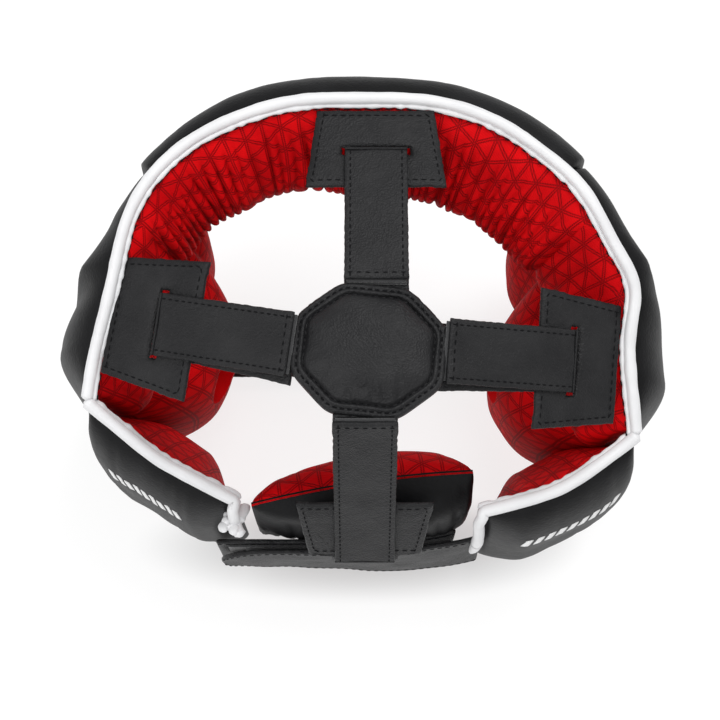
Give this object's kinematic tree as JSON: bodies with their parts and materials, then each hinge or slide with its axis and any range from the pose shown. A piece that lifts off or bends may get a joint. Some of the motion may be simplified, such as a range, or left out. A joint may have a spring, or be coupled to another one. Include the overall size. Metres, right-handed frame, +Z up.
{
  "type": "boxing headgear",
  "caption": "Padded boxing headgear with cheek guards, a crown pad on four straps with peel-back flaps, hinged rear wing and wrap-over rear closure.",
  "frame": {"origin": "on the floor under the middle of the headgear's bounding box", "axes": "+Z up, forehead towards -Y, wearer's left towards +X"},
  "size_m": [0.2612, 0.1997, 0.1905],
  "materials": {
    "outer_leather": "glossy black coated leather, puffed over the foam",
    "strap_leather": "satin black grained leather with stitched edges",
    "piping": "satin white coated leather piping",
    "lining": "red twill lining with a dark triangular line pattern",
    "foam": "closed-cell foam, hidden inside",
    "hook_and_loop": "matt black hook-and-loop tape"
  },
  "bodies": {
    "shell": {"chin_anchor": "strap_leather", "chin_loop": "hook_and_loop", "chin_strap": "strap_leather", "crown_base": "outer_leather", "crown_cover": "outer_leather", "crown_foam": "foam", "crown_loops": "hook_and_loop", "forehead_cover": "outer_leather", "forehead_foam": "foam", "forehead_lining": "lining", "front_strap": "strap_leather", "front_tab": "strap_leather", "left_cheek_cover": "outer_leather", "left_cheek_foam": "foam", "left_cheek_lining": "lining", "left_ear_pad_foam": "foam", "left_ear_pad_lining": "lining", "left_side_cover": "outer_leather", "left_side_foam": "foam", "left_side_lining": "lining", "left_strap": "strap_leather", "left_tab": "strap_leather", "left_wing_cover": "outer_leather", "left_wing_foam": "foam", "left_wing_lining": "lining", "left_wing_piping": "piping", "rear_band": "strap_leather", "rear_loop": "hook_and_loop", "rear_pad_cover": "outer_leather", "rear_pad_foam": "foam", "rear_pad_lining": "lining", "rear_strap": "strap_leather", "rear_tab": "strap_leather", "right_cheek_cover": "outer_leather", "right_cheek_foam": "foam", "right_cheek_lining": "lining", "right_ear_pad_foam": "foam", "right_ear_pad_lining": "lining", "right_side_cover": "outer_leather", "right_side_foam": "foam", "right_side_lining": "lining", "right_strap": "strap_leather", "right_tab": "strap_leather", "top_piping": "piping"},
    "right_wing": {"right_wing_cover": "outer_leather", "right_wing_foam": "foam", "right_wing_lining": "lining", "right_wing_piping": "piping"},
    "closure": {"closure_strap": "strap_leather", "closure_hook": "hook_and_loop"},
    "chin_closure": {"chin_tail": "strap_leather", "chin_hook": "hook_and_loop"},
    "front_crown_flap": {"front_flap": "strap_leather", "front_hook": "hook_and_loop"},
    "left_crown_flap": {"left_flap": "strap_leather", "left_hook": "hook_and_loop"},
    "right_crown_flap": {"right_flap": "strap_leather", "right_hook": "hook_and_loop"},
    "rear_crown_flap": {"rear_flap": "strap_leather", "rear_hook": "hook_and_loop"}
  },
  "joints": [
    {"name": "front_flap_peel", "type": "hinge", "parent": "shell", "child": "front_crown_flap", "pos_m": [-0.0065, -0.05836, 0.17526], "axis": [1, 0, 0], "range_deg": [0, 70]},
    {"name": "left_flap_peel", "type": "hinge", "parent": "shell", "child": "left_crown_flap", "pos_m": [0.08153, 0.01204, 0.16405], "axis": [0.1523, 0.9592, -0.2382], "range_deg": [0, 70]},
    {"name": "right_flap_peel", "type": "hinge", "parent": "shell", "child": "right_crown_flap", "pos_m": [-0.08637, 0.0263, 0.1593], "axis": [-0.0708, -0.971, 0.2285], "range_deg": [0, 70]},
    {"name": "rear_flap_peel", "type": "hinge", "parent": "shell", "child": "rear_crown_flap", "pos_m": [-0.002, 0.09826, 0.09266], "axis": [-1, 0, 0], "range_deg": [0, 70]},
    {"name": "right_wing_swing", "type": "hinge", "parent": "shell", "child": "right_wing", "pos_m": [-0.11976, 0.0514, 0.06], "axis": [0, 0, 1], "range_deg": [0, 35]},
    {"name": "closure_peel", "type": "hinge", "parent": "right_wing", "child": "closure", "pos_m": [-0.0575, 0.0922, 0.052], "axis": [0, 0, 1], "range_deg": [0, 75]},
    {"name": "chin_tail_peel", "type": "hinge", "parent": "shell", "child": "chin_closure", "pos_m": [-0.051, -0.015, 0.0189], "axis": [0, -1, 0], "range_deg": [0, 60]}
  ]
}
